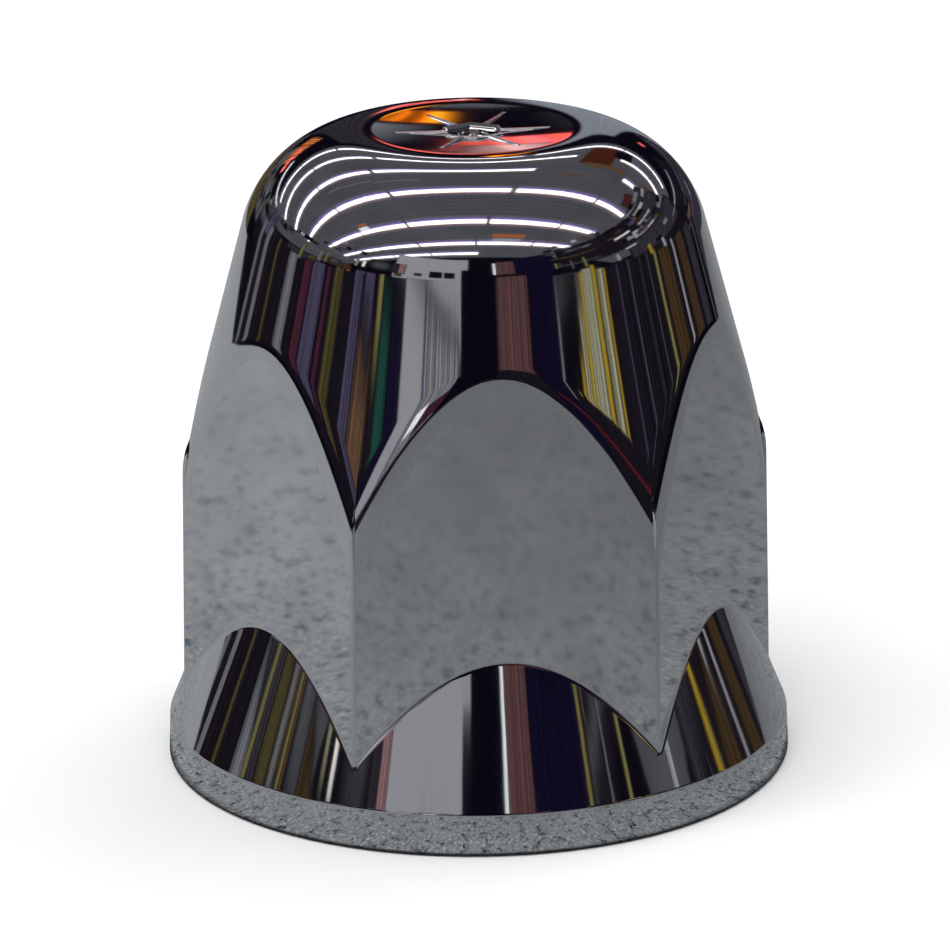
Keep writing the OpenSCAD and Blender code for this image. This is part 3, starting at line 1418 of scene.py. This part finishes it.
@dataclass
class Studio:
    """Camera, pale floor, soft lights and the cards that the mirror finish needs.

    Attributes:
        camera_turn: Azimuth of the camera in degrees, 0 on the -Y side.
        camera_rise: Elevation of the camera in degrees.
        camera_roll: Lean of the camera to the right in degrees.
        camera_reach: Distance from the camera to what it aims at.
        camera_aim_z: Height of what it aims at on the part's axis.
        camera_aside: How far the aim lies to the right of the axis.
        lens: Focal length in millimetres on a 36 mm sensor.
        surround: Colour of the surround.
        surround_light: Strength of its light.
        ceiling: Height of the mirrored ceiling.
        room: The mirrored room's left, right, near and far walls, in heights of the ceiling.
        counter: Corners of the mirrored counter, seen from above with the camera below.
        reach: Distance from the axis to the cards.
        tube_pitch: Distance from lamp to lamp in a row, in heights of the ceiling.
        tube_gap: Gap between two lamps.
        tube_width: Width of a lamp.
        lamp_layers: What each lamp is made of, from the nearest to the object upwards.
        rows: The rows of lamps.
        patches: Signs, ducts and dark openings between the rows.
        cards: The cards, each nearer than the one before it.
        clutters: The stretches of small scattered cards, nearer still.
    """

    camera_turn: float = -6.022
    camera_rise: float = 17.886
    camera_roll: float = 0.562
    camera_reach: float = 448.1 * MM
    camera_aim_z: float = 23.96 * MM
    camera_aside: float = -0.10 * MM
    lens: float = 202.16
    surround: tuple[float, float, float, float] = (0.93, 0.94, 0.95, 1)
    surround_light: float = 0.72
    ceiling: float = 2.0
    room: tuple[float, float, float, float] = (-4.4, 4.4, -1.4, 2.35)
    counter: tuple[tuple[float, float], ...] = (
        (-0.29, -1.2), (0.14, -1.2), (0.14, -0.36), (0.24, -0.36), (0.24, 0.3), (-0.39, 0.3), (-0.28, -0.1))
    reach: float = 2.5
    tube_pitch: float = 0.6
    tube_gap: float = 0.026
    tube_width: float = 0.074
    lamp_layers: tuple[LampLayer, ...] = (
        LampLayer("lamps", 0.0, 1.0, (1.0, 0.96, 0.94), 3.2),
        LampLayer("violet_fringe", 1.3, 0.5, (0.38, 0.22, 1.0), 0.8),
        LampLayer("warm_fringe", -1.2, 0.35, (1.0, 0.5, 0.3), 0.5),
        LampLayer("lamp_halo", 0.2, 2.8, (0.78, 0.72, 1.0), 0.2))
    rows: tuple[TubeRow, ...] = (
        TubeRow(2.05, 1.9, 7), TubeRow(1.45, 0.32, 5), TubeRow(1.47, 1.88, 2), TubeRow(0.82, 0.21, 5),
        TubeRow(0.88, 1.45, 1), TubeRow(0.22, 1.38, 7), TubeRow(-0.38, 1.30, 6), TubeRow(-0.88, 1.22, 6),
        TubeRow(-1.22, 0.06, 4))
    patches: tuple[Patch, ...] = (
        Patch(0.17, 0.45, -0.83, -0.75, Hue.PALE), Patch(0.16, 0.46, -0.72, -0.64, Hue.EMBER),
        Patch(-1.05, -0.9, -0.33, -0.26, Hue.WHITE), Patch(-1.02, -0.88, -0.24, -0.19, Hue.EMBER),
        Patch(0.29, 0.49, 0.64, 0.69, Hue.RUST), Patch(-0.92, -0.7, 0.585, 0.61, Hue.SILVER),
        Patch(-0.7, -0.45, 0.55, 0.575, Hue.SILVER), Patch(-0.45, -0.2, 0.5, 0.525, Hue.SILVER),
        Patch(0.36, 0.62, 1.1, 1.95, Hue.UMBER), Patch(0.4, 0.85, 0.98, 1.12, Hue.RUST),
        Patch(0.6, 0.84, 1.5, 1.95, Hue.INK))
    cards: tuple[Card, ...] = (
        # Ring of thin dim lines behind everything else
        Card(-140, 150, -3, 12, Hue.SHADE, 3.0),
        # Left side, from far to near
        Card(-172, -150, -9, 1, Hue.OLIVE, 5.0),
        Card(-166, -140, 1, 9, Hue.SLATE, 5.0),
        Card(-140, -122, 5, 15.6, Hue.VIOLET, 4.0),
        Card(-169, -158, 8.5, 15, Hue.EMBER, 4.0),
        Card(-164, -153, 11.5, 13.6, Hue.CORAL, 5.0),
        Card(-157, -124, 15.4, 16.8, Hue.WHITE, 5.0),
        Card(-152, -128, 6, 12, Hue.SLATE, 4.0),
        Card(-131, -128, -3.5, 10, Hue.SILVER, 0.8),
        Card(-124, -120.5, -3, 11, Hue.SILVER, 0.8),
        Card(-113, -110.5, -2, 11, Hue.OLIVE, 0.8),
        Card(-102, -95.5, 0, 10, Hue.SILVER, 1.4, 1.2),
        Card(-91, -85, 1, 11, Hue.MAROON, 3.0, 1.2),
        Card(-85, -77, 1, 12, Hue.VIOLET, 2.6, 1.0),
        Card(-76, -73, 2, 12, Hue.MAROON, 2.6, 1.0),
        Card(-71.5, -66, 2, 13.5, Hue.OLIVE, 2.2, 1.0),
        Card(-65.5, -62.6, 11.6, 16, Hue.EMBER, 1.0, 1.2),
        Card(-60, -54.5, 2, 15, Hue.VIOLET, 1.6, 0.8),
        Card(-55.5, -46.5, 2, 12.6, Hue.RUST, 1.6, 1.8),
        Card(-54.5, -48.5, 11.6, 15, Hue.VIOLET, 1.4, 1.0),
        Card(-106, -84, 9.5, 13, Hue.GRAPHITE, 4.0),
        Card(-90, -84, 10.5, 14, Hue.OLIVE, 2.0, 1.0),
        Card(-84, -63, 13, 17, Hue.BROWN, 4.0),
        Card(-77, -70, 14, 18, Hue.SLATE, 2.0, 1.5),
        # Pale wall and what hangs before it
        Card(-41, -3, 14.2, 33.5, Hue.PALE, 0.1),
        Card(-47, -44, 11.8, 15.5, Hue.LIME, 1.0, 1.0),
        Card(-44, -39, 9.5, 13.6, Hue.TEAL, 1.6, 0.9),
        Card(-39, -33.6, 2, 13.8, Hue.NAVY, 3.0),
        Card(-33.4, -23, 1, 15, Hue.PALE, 0.12, 0.8),
        Card(-23, -7.2, 1, 15, Hue.SILVER, 4.0),
        Card(-22.3, -15.8, 17, 22.3, Hue.INK, 2.0),
        Card(-15, -9.6, 17, 22.0, Hue.INK, 2.0),
        Card(-30, -26, 17.5, 20, Hue.MAROON, 2.0),
        Card(-40, -36, 15.5, 23, Hue.OLIVE, 3.0),
        Card(-20.5, -15, 4, 9.5, Hue.WHITE, 0.9, 0.8),
        Card(-15, -2, 2, 8, Hue.MAROON, 2.0, 0.8),
        # Dark middle
        Card(-6.5, 10.5, 1, 24.5, Hue.INK, 0.0, 0.9),
        Card(9.2, 10.9, 20, 30, Hue.WHITE, 0.6, 0.4),
        Card(10, 26, 9, 18.6, Hue.DUSTY, 1.6, 1.5),
        Card(10.8, 20.8, 19.6, 31, Hue.DUSTY, 1.4, 0.7),
        Card(20.5, 42, 18, 33, Hue.NAVY, 0.9),
        Card(26.5, 38.5, -6, 24, Hue.NAVY, 0.9, 0.9),
        Card(38.5, 40.0, 7, 14, Hue.SILVER, 0.5, 0.5),
        Card(39.6, 62, 13.2, 14, Hue.SLATE, 0.5, 0.3),
        Card(41, 42.6, 19.5, 24, Hue.LIME, 0.8, 0.4),
        Card(43.6, 44.6, 19.5, 24, Hue.CREAM, 0.8, 0.4),
        # Right side, from near to far
        Card(44.6, 45.6, 10, 11.6, Hue.YELLOW, 1.0, 0.4),
        Card(47.4, 49.2, 9.8, 12.0, Hue.YELLOW, 1.2, 0.4),
        Card(49.2, 51.6, 9.5, 12.6, Hue.CREAM, 2.2, 0.3),
        Card(51.6, 53.2, 9.4, 13, Hue.YELLOW, 1.2, 0.4),
        Card(53.2, 58.6, 9.2, 15, Hue.CREAM, 2.2, 0.3),
        Card(58.6, 60.8, 8.8, 16.5, Hue.YELLOW, 1.2, 0.4),
        Card(61.2, 64.8, 8.4, 12.5, Hue.CREAM, 2.4, 0.5),
        Card(64.8, 66.0, 8.2, 12, Hue.YELLOW, 1.0, 0.4),
        Card(28, 75, 2.2, 3.6, Hue.BRICK, 1.5, 0.6),
        Card(97.2, 99.6, 0, 9.5, Hue.LIME, 1.0, 0.8),
        Card(72.5, 73.5, 4, 12, Hue.VIOLET, 1.0, 0.4),
        Card(79.6, 80.6, 3, 12, Hue.SLATE, 1.0, 0.4),
        Card(86.6, 88.6, 2, 12, Hue.GRAPHITE, 1.0, 0.5),
        Card(92.4, 93.3, 1, 11, Hue.SLATE, 1.0, 0.4),
        Card(101, 110, 0, 8, Hue.BROWN, 3.0, 1.0),
        Card(112.6, 114.6, -1, 8, Hue.PALE, 0.8, 0.7),
        Card(117, 124, -3, 7, Hue.BROWN, 3.0),
        Card(126, 134, -4.5, 6, Hue.GRAPHITE, 3.5, 1.5),
        Card(136.5, 138.5, -6, 4, Hue.SLATE, 1.0),
        # Shelf ends and lamps' boxes under the ceiling on the right
        Card(44, 101, 19, 34.5, Hue.SHADE, 3.0),
        Card(84, 133, 10, 21, Hue.GRAPHITE, 4.0, 1.5),
        Card(102, 130, 20.5, 36, Hue.GRAPHITE, 3.0, 2.5),
        Card(108, 121, 33, 40, Hue.UMBER, 0.8, 1.0),
        Card(140, 170, -8, 8, Hue.GRAPHITE, 4.0, 1.5),
        Card(98, 126, 33.8, 35.2, Hue.SILVER, 6.0),
        Card(97, 112, 23.8, 24.8, Hue.SILVER, 6.0),
        Card(104, 118, 30.5, 32.5, Hue.PALE, 5.0),
        Card(100, 116, 26, 27.4, Hue.PALE, 5.0),
        Card(92, 112, 21, 22.6, Hue.PALE, 5.0),
        Card(38, 68, 31, 32.2, Hue.SLATE, 2.5),
        Card(40, 68, 26.3, 27.5, Hue.OLIVE, 3.5),
        Card(43, 68, 20.2, 21.4, Hue.SLATE, 2.5),
        Card(80, 93, 26.6, 28, Hue.WHITE, 0.2),
        Card(82.5, 91, 18, 19, Hue.WHITE, 0.2),
        Card(130, 158, 8, 16, Hue.SHADE, 5.0),
        Card(132, 152, 13.2, 14.4, Hue.PALE, 6.0),
        Card(162.6, 165, 12.2, 14.4, Hue.CORAL, 1.0),
        # Upper tier, which the flare mirrors
        Card(-96, -93.6, 8, 18, Hue.LIME, 1.4, 0.8),
        Card(-84, -81, 12, 20, Hue.SILVER, 1.4, 0.8),
        Card(-79.5, -78.2, 13, 21, Hue.LIME, 0.8, 0.5),
        Card(-62, -60, 17.5, 23, Hue.CREAM, 0.8, 0.5),
        Card(-58, -56, 18, 23, Hue.WHITE, 0.6, 0.5),
        Card(-54.5, -42, 18, 26, Hue.SLATE, 1.0, 4.0),
        Card(-42.4, -38.6, 18, 26, Hue.GRAPHITE, 0.8, 1.0),
        Card(-38.6, -34.6, 18, 26, Hue.ROSE, 0.8, 0.8),
        Card(49.6, 50.6, 17, 24, Hue.SILVER, 0.8, 0.4),
        Card(56.4, 58, 16, 24, Hue.LIME, 1.0, 0.4),
        Card(75, 77.4, 13, 18, Hue.PALE, 0.8, 0.5),
        Card(96, 98.6, 7.6, 14, Hue.YELLOW, 0.8, 0.5),
        Card(107, 109.6, 6.5, 12, Hue.PALE, 0.8, 0.5),
        # Far side, which the dish mirrors
        Card(180.9, 190, 2, 22, Hue.GRAPHITE, 0.3, 0.8),
        Card(169.5, 179.5, -6, 18.4, Hue.MIST, 0.12, 1.0),
        Card(178.5, 179.75, 18.8, 22.8, Hue.AMBER, 1.0, 0.3),
        Card(179.8, 182.4, 6.8, 13.4, Hue.CORAL, 0.8, 0.25),
        Card(179.9, 180.6, 4.6, 10.0, Hue.BLUSH, 0.5, 0.4),
    )

    clutters: tuple[Clutter, ...] = (
        Clutter(-168, -122, -4, 12, 6, 22, 5), Clutter(-122, -60, 14, 27, 3, 18, 11),
        Clutter(40, 74, 30, 30, 7, 12, 3), Clutter(74, 106, 24, 18, 12, 16, 8),
        Clutter(104, 130, 12, 10, 24, 30, 21), Clutter(128, 165, 0, -4, 12, 14, 2))

    def build(self) -> None:
        """Makes everything that isn't part of the object."""
        self._camera()
        self._world()
        self._floor()
        self._lights()
        self._room()
        self._lamps()
        self._patches()
        scattered = [card for clutter in self.clutters for card in clutter.cards()]
        for i, card in enumerate((*self.cards, *scattered)):
            self._stand(f"card_{i}", card, self.reach - 4 * MM * i)

    def _camera(self) -> None:
        """Places the camera at the photograph's viewing angle."""
        turn, rise = math.radians(self.camera_turn), math.radians(self.camera_rise)
        back = Vector((math.sin(turn) * math.cos(rise), -math.cos(turn) * math.cos(rise), math.sin(rise)))
        right = Vector((math.cos(turn), math.sin(turn), 0))
        lean = Matrix.Rotation(-math.radians(self.camera_roll), 3, back)
        right_leant, up = lean @ right, lean @ back.cross(right)
        camera = bpy.data.objects.new("camera", bpy.data.cameras.new("camera"))
        bpy.context.scene.collection.objects.link(camera)
        axes = Matrix((right_leant, up, back)).transposed()
        aim = right * self.camera_aside + Vector((0, 0, self.camera_aim_z))
        camera.matrix_world = Matrix.Translation(aim + back * self.camera_reach) @ axes.to_4x4()
        camera.data.sensor_width = 36
        camera.data.lens = self.lens
        camera.data.clip_start = 0.01
        camera.data.clip_end = 50
        bpy.context.scene.camera = camera

    def _world(self) -> None:
        """Sets a pale surround and plain display of colours."""
        world = bpy.data.worlds.new("surround")
        world.use_nodes = True
        background = world.node_tree.nodes["Background"]
        background.inputs["Color"].default_value = self.surround
        background.inputs["Strength"].default_value = self.surround_light
        scene = bpy.context.scene
        scene.world = world
        scene.view_settings.view_transform = "Standard"
        scene.view_settings.look = "None"
        scene.cycles.caustics_reflective = False

    def _stage(self, name: str, bm: bmesh.types.BMesh, materials: list[bpy.types.Material],
               turn: float = 0.0, mirrored: bool = True) -> bpy.types.Object:
        """Makes a stage object, turned with the camera.

        Args:
            name: Its name.
            bm: Its shape.
            materials: What dresses it.
            turn: Further turn about the axis.
            mirrored: Whether it shows in reflections alone.

        Returns:
            The object.
        """
        obj = new_object(name, bm)
        for material in materials:
            obj.data.materials.append(material)
        obj.rotation_euler.z = math.radians(self.camera_turn) + turn
        if mirrored:
            obj.visible_camera = False
            obj.visible_diffuse = False
            obj.visible_shadow = False
            obj.visible_transmission = False
        return obj

    def _floor(self) -> None:
        """Makes the pale floor, and the speckled counter that the plating mirrors."""
        bm = bmesh.new()
        bmesh.ops.create_grid(bm, x_segments=1, y_segments=1, size=6)
        pale = self._stage("floor", bm, [self._pale_floor()], mirrored=False)
        pale.visible_glossy = False
        bm = bmesh.new()
        bm.faces.new([bm.verts.new((x, y, -0.05 * MM)) for x, y in self.counter])
        self._stage("mirrored_counter", bm, [StoneSpeckle(math.radians(self.camera_turn)).material()])

    @staticmethod
    def _pale_floor() -> bpy.types.Material:
        """Makes a matt, nearly white floor that isn't seen from below.

        Returns:
            The material.
        """
        shader = Shader("pale_floor")
        mottle = shader.noise(60, 3, 0.5)
        tint = shader.mix(mottle, (0.80, 0.80, 0.80), (0.84, 0.84, 0.84))
        matt = shader.node("ShaderNodeBsdfDiffuse", None, {"Color": tint})
        clear = shader.node("ShaderNodeBsdfTransparent")
        side = shader.node("ShaderNodeNewGeometry").outputs["Backfacing"]
        both = shader.node("ShaderNodeMixShader", None,
                           {0: side, 1: matt.outputs[0], 2: clear.outputs[0]})
        return shader.finish(both)

    def _lights(self) -> None:
        """Hangs two soft lights that light the floor and aren't mirrored."""
        for name, place, size, power in (("key", (-0.5, -0.4, 1.3), 1.4, 17),
                                         ("fill", (0.9, 0.5, 1.1), 1.2, 7)):
            light = bpy.data.lights.new(name, "AREA")
            light.size = size
            light.energy = power
            obj = bpy.data.objects.new(name, light)
            bpy.context.scene.collection.objects.link(obj)
            obj.location = place
            obj.rotation_mode = "QUATERNION"
            obj.rotation_quaternion = Vector(place).to_track_quat("Z", "Y")
            obj.visible_glossy = False

    @staticmethod
    def _glow(name: str, colour: tuple[float, float, float], strength: float = 1.0) -> bpy.types.Material:
        """Makes a plain glowing material.

        Args:
            name: Its name.
            colour: Its colour.
            strength: Its light.

        Returns:
            The material.
        """
        shader = Shader(name)
        return shader.finish(shader.node("ShaderNodeEmission", None,
                                         {"Color": (*colour, 1.0), "Strength": strength}))

    def _room(self) -> None:
        """Makes the dark room that the plating mirrors: walls, and a ceiling board on its own material."""
        left, right, near, far = (self.ceiling * wall for wall in self.room)
        top, deep = 1.01 * self.ceiling, -self.ceiling
        bm = bmesh.new()
        made = bmesh.ops.create_cube(bm, size=1)["verts"]
        bmesh.ops.scale(bm, verts=made, vec=(right - left, far - near, top - deep))
        bmesh.ops.translate(bm, verts=made,
                            vec=((left + right) / 2, (near + far) / 2, (top + deep) / 2))
        bm.faces.ensure_lookup_table()
        for face in bm.faces:
            face.material_index = 1 if face.normal.z > 0.5 else 0
        board = CeilingBoard(0.07 * self.ceiling).material()
        self._stage("mirrored_room", bm, [self._glow("dark_wall", Hue.INK.value), board])

    def _lamps(self) -> None:
        """Hangs the rows of lamps, each with a violet fringe behind it and a warm one before it."""
        half = self.tube_width * self.ceiling / 2
        length = (self.tube_pitch - self.tube_gap) * self.ceiling
        for number, layer in enumerate(self.lamp_layers):
            bm = bmesh.new()
            for row in self.rows:
                for k in range(row.count):
                    middle = (row.right_end - (k + 0.5) * self.tube_pitch) * self.ceiling
                    made = bmesh.ops.create_grid(bm, x_segments=1, y_segments=1, size=0.5)["verts"]
                    bmesh.ops.scale(bm, verts=made, vec=(length, 2 * layer.width * half, 1))
                    behind = row.across * self.ceiling + layer.shift * half
                    bmesh.ops.translate(bm, verts=made, vec=(middle, behind, self.ceiling + number * MM))
            self._stage(layer.name, bm, [self._glow(layer.name, layer.colour, layer.strength)])

    def _patches(self) -> None:
        """Hangs the rectangles just below the ceiling."""
        for i, patch in enumerate(self.patches):
            bm = bmesh.new()
            made = bmesh.ops.create_grid(bm, x_segments=1, y_segments=1, size=0.5)["verts"]
            size = (patch.right - patch.left, patch.far - patch.near, 1)
            place = ((patch.left + patch.right) / 2, (patch.near + patch.far) / 2, 1)
            bmesh.ops.scale(bm, verts=made, vec=size)
            bmesh.ops.translate(bm, verts=made, vec=place)
            bmesh.ops.scale(bm, verts=made, vec=[self.ceiling * 0.998] * 3)
            self._stage(f"patch_{i}", bm, [self._glow(f"patch_{i}", patch.hue.value)])

    def _stand(self, name: str, card: Card, reach: float) -> None:
        """Makes one card at a distance from the object, its own middle towards the camera, and turns it.

        Args:
            name: Its name.
            card: The card.
            reach: Its distance from the axis.
        """
        low, high = (reach * math.tan(math.radians(a)) for a in (card.low, card.high))
        steps = max(2, round(math.degrees(card.half)))
        bm = bmesh.new()
        x, y = -reach * math.sin(card.half), -reach * math.cos(card.half)
        ends = [bm.verts.new((x, y, z)) for z in (low, high)]
        edge = bm.edges.new(ends)
        bmesh.ops.spin(bm, geom=[*ends, edge], cent=(0, 0, 0), axis=(0, 0, 1), dvec=(0, 0, 0),
                       angle=2 * card.half, steps=steps, use_merge=False, use_duplicate=False)
        self._stage(name, bm, [self._striped(name, card, reach)], card.middle)

    @staticmethod
    def _striped(name: str, card: Card, reach: float) -> bpy.types.Material:
        """Makes a glowing material with fine upright stripes that fades into the dark at its edges.

        Args:
            name: Its name.
            card: The card that it dresses.
            reach: The card's distance from the axis.

        Returns:
            The material.
        """
        shader = Shader(name)
        x, y, z = shader.axes()
        turn = Signal(shader, shader.math("ARCTAN2", x, y * -1.0))
        rise = z / reach
        wander = shader.noise(1.6, 2, 0.5)
        along = (turn + card.middle) * card.LINE_PITCH + wander * card.WANDER
        lines, hues = shader.lines(along), shader.lines(along * 0.7)
        level = ((lines - 0.5) * (6.0 * card.stripes) + 1.0).held(card.DIMMEST, card.BRIGHTEST)
        fade = math.radians(card.soft)
        sides = ((turn + card.half) / fade).held() * ((card.half - turn) / fade).held()
        low, high = (math.tan(math.radians(a)) for a in (card.low, card.high))
        ends = ((rise - low) / fade).held() * ((high - rise) / fade).held()
        whole = sides * ends
        red, green, blue = card.hue.value
        leaning = ((hues - 0.5) * (4.0 * min(card.stripes, 1)) + 0.5).held()
        lively = shader.mix(leaning, (red * 1.25, green, blue * 0.7), (red * 0.75, green, blue * 1.3))
        tint = shader.mix(whole, Hue.INK.value, lively)
        strength = (level - 1.0) * whole + 1.0
        return shader.finish(shader.node("ShaderNodeEmission", None, {"Color": tint, "Strength": strength}))


def main() -> None:
    """Builds the cap and the studio, and reports each."""
    logging.basicConfig(level=logging.INFO, format="%(name)s: %(message)s")
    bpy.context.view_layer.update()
    cap = CoverCap().build()
    LOG.info("%s: %d faces, %d vertices", cap.name, len(cap.data.polygons), len(cap.data.vertices))
    Studio().build()
    LOG.info("studio: camera %s", tuple(round(c, 4) for c in bpy.context.scene.camera.location))


if __name__ == "__main__":
    main()
